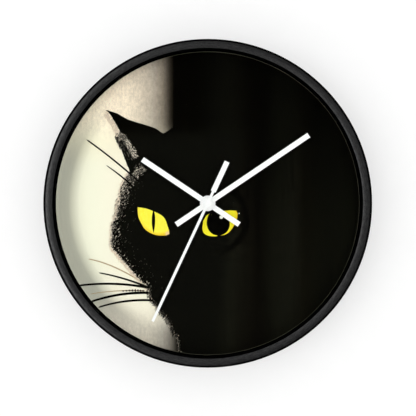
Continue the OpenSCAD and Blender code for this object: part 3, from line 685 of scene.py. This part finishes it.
def printed_fur():
    """The soft edge of the cat's face, the grey hairs of its cheek and the pale fur behind its ear."""
    random.seed(11)
    tones = [
        ("fur_dark", srgb(5, 5, 4), srgb(14, 13, 10), 0.03),
        ("fur_grey", srgb(70, 67, 60), srgb(124, 118, 108), 0.02),
        ("fur_pale", srgb(182, 172, 157), srgb(232, 220, 202), 0.01),
        ("fur_blush", srgb(208, 190, 168), srgb(232, 216, 194), 0.015),
    ]
    dark, grey, pale, blush = (
        Strands(name, hair_material(name, low, high), dial_level(out)) for name, low, high, out in tones
    )
    walls = outline_walls()
    cheek = stretch_of(walls, right=-40, low=-68, high=22)
    upper_cheek = stretch_of(cheek, low=-4)
    middle_cheek = stretch_of(cheek, low=-34, high=-4)
    lower_cheek = stretch_of(cheek, high=-34)
    chin = stretch_of(walls, right=-20, low=-119, high=-68)
    chin_tuft = stretch_of(chin, low=-94, high=-80)
    ear_top = [w for w in stretch_of(walls, right=-27, low=52) if w.way[1] > 0.3]
    ear_side = [w for w in stretch_of(walls, right=-50, low=22) if w.way[0] < -0.3]
    ear_back = stretch_of(ear_side, low=55)
    ground = stretch_of(walls, left=-30, low=50)

    # the edge of the face: pale fringe outside, grey and pale hairs that thin out inside, dark ones between
    coat(edge_places(cheek, per_mm=5, depth=(-1.4, 0.4)), {blush: 3, pale: 1}, Lay(245, 0.7, 26),
         length=(1.2, 2.6), width=(0.2, 0.45))
    coat(edge_places(upper_cheek, per_mm=7, depth=(0.9, 7.5), bunched=1.2), {pale: 6, grey: 3},
         Lay(240, 0.6, 36), length=(0.9, 2.0), width=(0.3, 0.6), clump=2)
    coat(edge_places(middle_cheek, per_mm=5, depth=(0.0, 7.5), bunched=1.7), {pale: 5, grey: 4},
         Lay(240, 0.6, 36), length=(0.9, 1.9), width=(0.25, 0.55), clump=2)
    coat(edge_places(lower_cheek, per_mm=3, depth=(0.0, 4.0), bunched=2.4), {pale: 4, grey: 4},
         Lay(240, 0.6, 30), length=(0.9, 2.0), width=(0.2, 0.45), clump=2)
    coat(edge_places(lower_cheek, per_mm=7, depth=(-2.0, 0.6)), {blush: 6, pale: 1}, Lay(300, 0.85, 16),
         length=(1.4, 3.0), width=(0.2, 0.5))
    coat(edge_places(cheek, per_mm=9, depth=(0.2, 7.5), bunched=1.1), {dark: 1}, Lay(238, 0.5, 40),
         length=(0.9, 2.0), width=(0.45, 0.8))
    coat(edge_places(upper_cheek, per_mm=6, depth=(2.6, 7.5)), {dark: 1}, Lay(238, 0.5, 40),
         length=(0.9, 2.0), width=(0.4, 0.7))
    coat(edge_places(upper_cheek, per_mm=9, depth=(-0.7, 1.3), bunched=1.1), {blush: 2, pale: 3},
         Lay(250, 0.7, 20), length=(1.1, 2.4), width=(0.2, 0.45))
    coat(edge_places(middle_cheek, per_mm=4, depth=(-0.6, 0.8), bunched=1.1), {pale: 2, grey: 1},
         Lay(240, 0.7, 30), length=(0.9, 1.8), width=(0.2, 0.4))
    coat(edge_places(middle_cheek, per_mm=4, depth=(1.8, 7.5)), {dark: 1}, Lay(238, 0.5, 40),
         length=(0.9, 2.0), width=(0.4, 0.7))
    coat(edge_places(cheek, per_mm=1, depth=(4.0, 16.0), bunched=1.6), {grey: 1}, Lay(238, 0.5, 40),
         length=(0.6, 1.2), width=(0.15, 0.3))
    coat(edge_places(chin, per_mm=7, depth=(0.6, 1.4)), {dark: 1}, Lay(250, 0.5, 26), length=(1.4, 3.0),
         width=(0.2, 0.4))
    coat(edge_places(chin, per_mm=6, depth=(-1.2, 2.0)), {grey: 4, blush: 1, dark: 2}, Lay(245, 0.6, 30),
         length=(0.9, 2.2), width=(0.2, 0.5))
    coat(edge_places(chin_tuft, per_mm=6, depth=(-2.4, 0.4)), {grey: 2, dark: 3}, Lay(240, 0.6, 36),
         length=(0.9, 2.0), width=(0.25, 0.5))
    coat(band_places((-46.8, -67.6), (-47.6, -69.2), (-46.9, -71.2), wide=(0.3, 0.3), count=30),
         {dark: 1}, Lay(250, 0.7, 20), length=(0.9, 1.8), width=(0.3, 0.5))
    coat(band_places((-46.2, -71.4), (-45.3, -73.3), (-44.2, -75.2), wide=(0.25, 0.3), count=40),
         {blush: 2, pale: 1}, Lay(285, 0.8, 20), length=(0.9, 1.8), width=(0.25, 0.45))
    coat(edge_places(ear_top, per_mm=5, depth=(0.4, 0.8)), {dark: 1}, Lay(165, 0.75, 14),
         length=(0.9, 1.7), width=(0.12, 0.25))
    coat(edge_places(ear_side, per_mm=6, depth=(0.5, 0.9)), {dark: 1}, Lay(262, 0.7, 16),
         length=(1.0, 2.0), width=(0.15, 0.3))
    coat(edge_places(ground, per_mm=3, depth=(0.6, 1.0)), {dark: 1}, Lay(95, 0.6, 20), length=(1.2, 2.2),
         width=(0.1, 0.2))

    # behind the ear: blush fur on the card at the top, then a bright streak that runs down inside the dark
    coat(edge_places(ear_back, per_mm=12, depth=(-4.2, -0.4)), {blush: 5, pale: 1}, Lay(292, 0.9, 14),
         length=(1.4, 3.0), width=(0.2, 0.45))
    coat(band_places((-71, 52.6), (-70.2, 49.4), (-68.8, 45.2), wide=(0.8, 0.7), count=110),
         {pale: 2, grey: 5, dark: 7}, Lay(288, 0.8, 30), length=(0.9, 2.0), width=(0.25, 0.5), clump=2)
    coat(band_places((-72.4, 55), (-71.6, 50.4), (-69.8, 46), wide=(0.45, 0.3), count=70),
         {blush: 3, grey: 1}, Lay(288, 0.8, 20), length=(0.9, 2.0), width=(0.2, 0.4))
    coat(band_places((-69.1, 57), (-69.3, 54), (-69.2, 50.6), wide=(0.4, 0.5), count=60),
         {pale: 2, grey: 3}, Lay(290, 0.8, 26), length=(0.9, 2.0), width=(0.3, 0.5))
    coat(band_places((-69.6, 56), (-63.6, 47.4), (-57.4, 36.5), wide=(1.25, 1.0), count=130), {grey: 1},
         Lay(300, 0.8, 30), length=(1.4, 3.0), width=(0.3, 0.55), clump=2)
    coat(band_places((-69, 55), (-63.2, 47), (-57, 36), wide=(1.1, 0.85), count=75), {pale: 1},
         Lay(318, 0.8, 34), length=(1.6, 3.2), width=(0.45, 0.8), clump=2)
    coat(band_places((-68.8, 54.6), (-63.2, 47), (-56.8, 35.6), wide=(1.7, 1.5), count=75), {dark: 1},
         Lay(312, 0.8, 38), length=(1.2, 2.8), width=(0.3, 0.6))
    coat(band_places((-65, 50), (-62.4, 46), (-59.4, 41), wide=(0.5, 0.4), count=26), {pale: 1},
         Lay(310, 0.8, 24), length=(1.6, 3.2), width=(0.45, 0.7), clump=2)
    coat(band_places((-72.4, 55.6), (-71, 53), (-69.4, 50.2), wide=(0.9, 0.9), count=60),
         {grey: 4, blush: 3}, Lay(292, 0.8, 26), length=(1.0, 2.4), width=(0.25, 0.5))
    coat(band_places((-68, 46), (-64.5, 40), (-61, 31), wide=(0.9, 0.7), count=40), {grey: 2, dark: 5},
         Lay(290, 0.8, 26), length=(0.8, 1.8), width=(0.25, 0.5))

    # in front of the ear: a band of grey fur that runs down into the cheek
    ear_front = (-50.4, 29.2), (-55.4, 23.4), (-60.5, 18.6)
    below_ear = (-60, 19), (-64.4, 13.4), (-67, 5)
    coat(band_places(*ear_front, wide=(1.9, 1.9), count=150), {grey: 1}, Lay(225, 0.8, 28),
         length=(1.2, 2.6), width=(0.25, 0.5), clump=2)
    coat(band_places((-51, 29), (-56, 23.8), (-61, 18.9), wide=(1.4, 1.5), count=85), {pale: 1},
         Lay(225, 0.8, 28), length=(1.2, 2.6), width=(0.3, 0.55), clump=2)
    coat(band_places(*ear_front, wide=(2.0, 2.0), count=190), {dark: 1}, Lay(225, 0.8, 30),
         length=(0.9, 2.0), width=(0.4, 0.75))
    coat(band_places(*below_ear, wide=(1.8, 1.5), count=80), {grey: 1},
         Lay(240, 0.7, 30), length=(1.1, 2.4), width=(0.3, 0.5), clump=2)
    coat(band_places((-60, 19), (-64.8, 13.4), (-67.6, 5), wide=(1.5, 1.2), count=110), {pale: 1},
         Lay(240, 0.7, 32), length=(1.1, 2.4), width=(0.3, 0.55), clump=2)
    coat(band_places(*below_ear, wide=(1.9, 1.6), count=110), {dark: 1},
         Lay(240, 0.7, 34), length=(0.9, 2.0), width=(0.4, 0.75))

    # beside the cheek: a blush band outside the dark, dim hairs inside it and a thin dark rim above it
    coat(band_places((-70.4, 4), (-72, -4), (-73.5, -12), wide=(0.9, 0.9), count=150),
         {blush: 5, grey: 2}, Lay(255, 0.85, 16), length=(1.4, 3.0), width=(0.25, 0.5))
    coat(band_places((-68.6, 2), (-69.4, -5), (-70.4, -12), wide=(1.2, 1.4), count=60), {grey: 1},
         Lay(250, 0.5, 40), length=(0.5, 1.1), width=(0.2, 0.4))
    coat(band_places((-72.8, 52.8), (-70.6, 48.2), (-68.8, 43.8), wide=(0.5, 0.4), count=90),
         {grey: 3, dark: 4}, Lay(296, 0.85, 20), length=(1.0, 2.4), width=(0.25, 0.5))
    coat(band_places((-67, 53.8), (-62.6, 47.2), (-58, 39), wide=(0.8, 0.7), count=60),
         {dark: 3, grey: 2}, Lay(308, 0.7, 40), length=(0.7, 1.5), width=(0.3, 0.55))
    dark.add(bent((-68.2, 58.1), (-64.7, 54.2), (-61.7, 49.8), 8), [1.0] + [1.5] * 5 + [1.2, 0.8])
    dark.add(bent((-61.8, 22.4), (-67.1, 14.4), (-69.3, 6.2), 12), [0.5] + [0.7] * 9 + [0.6, 0.4])

    for strands in (dark, grey, pale, blush):
        strands.build("black_ink" if strands is dark else "dial_paper")


def whiskers():
    """Long tapered whiskers, and the short dashes of one more close to the face."""
    black = Strands("whiskers_dark", hair_material("whisker_dark", srgb(4, 4, 3), srgb(14, 13, 10)),
                    dial_level(0.07))
    tan = hair_material("whisker_pale", srgb(150, 132, 100), srgb(206, 184, 150))
    brown = Strands("whiskers_pale", tan, dial_level(0.02))
    # Each is a tone, root, point on the way, tip, width at the root and share of it left at the tip
    shapes = [
        (black, (-54, 17), (-75.2, 35), (-95.6, 50.3), 1.35, 0.8),
        (black, (-58.6, 12.6), (-68, 21.2), (-79.9, 29.9), 1.6, 0.3),
        (brown, (-53.6, -60.8), (-75.5, -49.4), (-94.2, -43.8), 1.0, 0.8),
        (black, (-46.5, -66.3), (-66.1, -59.3), (-86, -54.6), 1.6, 0.55),
        (black, (-46.5, -66.6), (-73.6, -63.4), (-102.2, -64.8), 1.8, 0.8),
        (brown, (-49.5, -68.8), (-72, -69), (-92.4, -71.4), 0.8, 0.7),
        (black, (-46.7, -70.4), (-70, -72), (-92.2, -77.6), 2.0, 0.8),
        (black, (-43.5, -76.4), (-65.5, -77.2), (-86.5, -82.1), 1.75, 0.7),
    ]
    parts, taper = 24, 1.6
    for strands, root, middle, tip, width, left in shapes:
        path = bent(root, middle, tip, parts)
        strands.add(path, [width * (1 - (1 - left) * (k / parts) ** taper) for k in range(parts)])

    steps, dash = 32, 4
    path = bent((-50.4, -68.8), (-58.6, -68.6), (-68.4, -69.1), steps)
    for first in range(0, steps, dash):
        strength = 1 - abs(first - 12) / 34
        black.add(path[first:first + dash], (1.3 * strength, 2.2 * strength, 1.3 * strength))
    black.build("black_ink")
    brown.build("dial_paper")


def domed_spot(name, x, y, radius, rise, material):
    """A round printed spot at (x, y) with a domed front, a flat back and a slightly wavy rim, in mm."""
    rings, sides = 4, 20
    points = [(x, y, rise)]
    for ring in range(1, rings + 1):
        share = ring / rings
        for side in range(sides):
            turn = ALL_ROUND * side / sides
            reach = radius * share * (1 + 0.06 * math.sin(3 * turn))
            lift = rise * (1 - share * share)
            points.append((x + reach * math.cos(turn), y + reach * math.sin(turn), lift))
    points.append((x, y, 0.0))
    faces = [(0, 1 + s, 1 + (s + 1) % sides) for s in range(sides)]
    for ring in range(rings - 1):
        for s in range(sides):
            a, b = 1 + ring * sides + s, 1 + ring * sides + (s + 1) % sides
            faces.append((a, a + sides, b + sides, b))
    last = 1 + (rings - 1) * sides
    faces += [(last + s, len(points) - 1, last + (s + 1) % sides) for s in range(sides)]
    placed = [(px * MM, dial_level(0.01 + lift), py * MM) for px, py, lift in points]
    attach(new_piece(name, placed, faces, material), HOME)


def eye_details():
    """The catchlight in the round pupil, the pale speck by its corner, and the dark lids of both eyes."""
    g = Graph("catchlight")
    tone = g.mix(g.noise(1.5), srgb(240, 241, 236), srgb(254, 254, 252))
    white = g.finish(tone, 0.4, Specular_IOR_Level=INK_SHINE)
    domed_spot("catchlight", 10.9, -10.9, 1.3, 0.12, white)
    domed_spot("eye_speck", 24.7, -7.9, 0.42, 0.06, white)

    lid = Strands("upper_lid", hair_material("upper_lid", srgb(5, 5, 4), srgb(13, 12, 10)), dial_level())
    # the round eye's upper lid
    lid.add(bent((1.3, -8.2), (4.6, -7.1), (10.4, -6.3), 12), [2.0, 2.8] + [3.2] * 8 + [2.6, 1.8])
    # the slit pupil, then the outer edge of that eye
    lid.add(bent((-42.6, -5.9), (-42.7, -14.2), (-42.8, -23.0), 10),
            [0.8, 1.6, 2.2, 2.6, 2.7, 2.7, 2.6, 2.2, 1.6, 0.9])
    lid.add(bent((-56.3, -1.6), (-55.3, -10.5), (-49.5, -21.0), 12), [0.7] + [1.1] * 9 + [0.9, 0.6])
    # the round eye's lower left edge, its lower lid, and its inner corner
    lid.add(bent((-4.0, -13.6), (-4.1, -23.3), (3.8, -26.6), 12), [0.9] + [1.7] * 9 + [1.3, 0.9])
    lid.add(bent((7.6, -25.5), (11.4, -25.8), (15.6, -24.4), 8), [0.5, 0.9, 1.2, 1.3, 1.3, 1.2, 0.9, 0.6])
    lid.add(bent((-0.4, -17.5), (0.35, -12.2), (2.4, -8.4), 10),
            [0.6, 1.0, 1.2, 1.4, 1.4, 1.5, 1.6, 1.8, 2.0, 2.2])
    lid.build("black_ink")


# ---- moulded marks on the movement ----
def bar_outline(x, y, wide, tall):
    """A minus sign."""
    return [(x - wide / 2, y - tall / 2), (x + wide / 2, y - tall / 2),
            (x + wide / 2, y + tall / 2), (x - wide / 2, y + tall / 2)]


def plus_outline(x, y, reach, half):
    """A plus sign, made of one arm turned four times."""
    arm = [(-half, -reach), (half, -reach), (half, -half)]
    corners = []
    for _ in range(4):
        corners += arm
        arm = [(-up, across) for across, up in arm]
    return [(x + across, y + up) for across, up in corners]


def turn_arrow_outline(x, y, reach):
    """An arc around (x, y), with an arrow's head at its start."""
    start, sweep, parts = 125, 110, 12
    half, head_half, head_turn = 0.4, 1.1, 0.3
    turns = [math.radians(start + sweep * k / parts) for k in range(parts + 1)]

    def at(radius, turn):
        return x + radius * math.cos(turn), y + radius * math.sin(turn)

    outer = [at(reach + half, turn) for turn in turns]
    inner = [at(reach - half, turn) for turn in reversed(turns)]
    first = turns[0]
    head = [at(reach - head_half, first), at(reach, first - head_turn), at(reach + head_half, first)]
    return outer + inner + head


def raised(outlines, base_y, height, draft):
    """Points and faces, in metres, of outlines in mm that rise from base_y with walls drawn in by draft."""
    points, faces = [], []
    for outline in outlines:
        area = sum(p[0] * q[1] - q[0] * p[1] for p, q in zip(outline, outline[1:] + outline[:1]))
        ring = outline if area > 0 else outline[::-1]
        base, count = len(points), len(ring)
        points += [(x * MM, base_y, y * MM) for x, y in ring]
        for k, (x, y) in enumerate(ring):
            (ax, ay), (bx, by) = ring[k - 1], ring[(k + 1) % count]
            run = math.hypot(bx - ax, by - ay)
            in_x, in_y = -(by - ay) / run, (bx - ax) / run
            points.append(((x + in_x * draft) * MM, base_y + height * MM, (y + in_y * draft) * MM))
        faces.append(tuple(range(base, base + count)))
        faces.append(tuple(range(base + 2 * count - 1, base + count - 1, -1)))
        faces += [(base + k, base + count + k, base + count + (k + 1) % count, base + (k + 1) % count)
                  for k in range(count)]
    return points, faces


def raised_marks():
    """Moulded marks on the movement's rear wall: the cell's two poles and the way that the knob turns."""
    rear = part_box("movement_case")[1].y
    cell_low, cell_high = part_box("battery")
    knob_low, knob_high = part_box("setting_knob")
    above = cell_high.z / MM + 3.4
    from_end = 5
    round_knob = (knob_high.x - knob_low.x) / 2 / MM + 2.0
    knob_x, knob_y = (knob_low.x + knob_high.x) / 2 / MM, (knob_low.z + knob_high.z) / 2 / MM
    outlines = [
        bar_outline(cell_low.x / MM + from_end, above, 3.2, 0.8),
        plus_outline(cell_high.x / MM - from_end, above, 1.6, 0.4),
        turn_arrow_outline(knob_x, knob_y, round_knob),
    ]
    points, faces = raised(outlines, rear, height=0.25, draft=0.12)
    plastic = moulded("case_marks", srgb(46, 46, 49), srgb(64, 64, 68), 0.4, 0.01, 4.0, edge=0)
    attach(new_piece("case_marks", points, faces, plastic), HOME)


# ---- stage, lights and camera ----
def sheet(name, corners, material):
    """One flat face, for the wall or the floor."""
    made = new_piece(name, corners, [(0, 1, 2, 3)], material)
    return made


def wall_material():
    """A matt pale wall that can't be seen from behind, so that the clock's back shows."""
    g = Graph("wall")
    plaster = g.noise(0.05, detail=3.0)
    tone = g.mix(plaster, (0.6, 0.6, 0.6, 1), (0.62, 0.62, 0.62, 1))
    matt = g.node("BsdfDiffuse", {"Color": tone})
    glow = g.node("Emission", {"Color": (1, 1, 1, 1), "Strength": 0.33})
    front = g.node("AddShader", {0: matt.outputs[0], 1: glow.outputs[0]})
    clear = g.node("BsdfTransparent")
    behind = g.node("NewGeometry").outputs["Backfacing"]
    both = g.node("MixShader", {0: behind, 1: front.outputs[0], 2: clear.outputs[0]})
    g.node("OutputMaterial", {"Surface": both.outputs[0]})
    return g.owner


def stage():
    """A wall just behind the clock and a floor below it."""
    low, high = cad_bounds
    reach = 6.0
    square = ((-reach, -reach), (reach, -reach), (reach, reach), (-reach, reach))
    wall_y = high[1] + 2 * MM
    wall = sheet("wall", [(x, wall_y, z) for x, z in square], wall_material())
    for sense in ("visible_diffuse", "visible_glossy", "visible_transmission", "visible_shadow"):
        setattr(wall, sense, False)
    g = Graph("floor")
    pale = g.finish(g.mix(g.noise(0.01), (0.8, 0.8, 0.79, 1), (0.84, 0.84, 0.83, 1)), 0.7)
    floor_z = low[2] - 0.25
    floor = sheet("floor", [(x, y, floor_z) for x, y in square], pale)
    floor.visible_glossy = False


def soft_light(name, place, size, power):
    """A square soft light that faces the clock, and that no camera or reflection sees."""
    data = bpy.data.lights.new(name, "AREA")
    data.size = size
    data.energy = power
    made = bpy.data.objects.new(name, data)
    made.location = place
    made.rotation_euler = made.location.to_track_quat("Z", "Y").to_euler()
    made.visible_glossy = False
    made.visible_camera = False
    bpy.context.scene.collection.objects.link(made)


def world():
    """Pale all around; reflections see a bright left, a weaker right and a dim front."""
    made = bpy.data.worlds.new("studio")
    bpy.context.scene.world = made
    g = Graph("studio", made)
    axes = g.node("SeparateXYZ", {0: g.node("TexCoord").outputs["Generated"]})
    x, y, z = axes.outputs["X"], axes.outputs["Y"], axes.outputs["Z"]
    steep = g.between(g.math("ABSOLUTE", z), 0.04, 0.2, 1.0, 0.15)
    front = g.times(g.between(y, -0.86, -0.97), steep)
    aside = g.between(y, -0.3, -0.75)
    left = g.times(g.between(x, -0.1, -0.5), aside)
    right = g.times(g.between(x, 0.2, 0.5), aside)
    behind = g.between(y, 0.45, 0.9)
    past_rim = g.times(g.between(y, 0.0, 0.25), g.between(z, -0.3, 0.3))
    across = g.times(g.between(g.math("ABSOLUTE", y), 0.55, 0.2), g.between(z, -1.0, 1.0, 0.25, 0.9))
    seen = g.times(front, 0.62)
    for patch, brightness in ((left, 3.5), (right, 0.3), (behind, 0.8), (past_rim, 0.5)):
        seen = g.plus(seen, g.times(patch, brightness))
    seen = g.plus(seen, across)
    least, all_around = 0.02, 1.05
    seen = g.plus(seen, least)
    glossy = g.node("LightPath").outputs["Is Glossy Ray"]
    strength = g.plus(g.times(glossy, seen), g.times(g.minus(1.0, glossy), all_around))
    background = g.node("Background", {"Color": (1, 1, 1, 1), "Strength": strength})
    g.node("OutputWorld", {"Surface": background.outputs[0]})


def lights():
    """Two soft lights in front of the wall and two behind the clock; sizes in metres, powers in watts."""
    front_size, rear_size = 1.8, 1.0
    soft_light("key", (-0.8, -1.9, -0.5), front_size, 16.5)
    soft_light("fill", (0.9, -1.9, -0.6), front_size, 7.5)
    soft_light("rear_left", (-0.9, 1.3, 0.8), rear_size, 16)
    soft_light("rear_right", (1.1, 1.2, 0.4), rear_size, 9)


def camera():
    """Straight in front of the hands' axis; the shifts set the clock just above the picture's middle."""
    lip_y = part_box("frame_ring")[0].y
    from_lip = 0.651
    data = bpy.data.cameras.new("camera")
    data.sensor_width = 36
    data.lens = 73.12
    data.shift_x = 0.00067
    data.shift_y = -0.01127
    data.clip_start = 0.01
    made = bpy.data.objects.new("camera", data)
    made.location = (0, lip_y - from_lip, 0)
    made.rotation_euler = (math.radians(90), 0, 0)
    bpy.context.scene.collection.objects.link(made)
    bpy.context.scene.camera = made


dress_all()
printed_fur()
whiskers()
eye_details()
raised_marks()
stage()
world()
lights()
camera()
bpy.context.scene.view_settings.view_transform = "Standard"
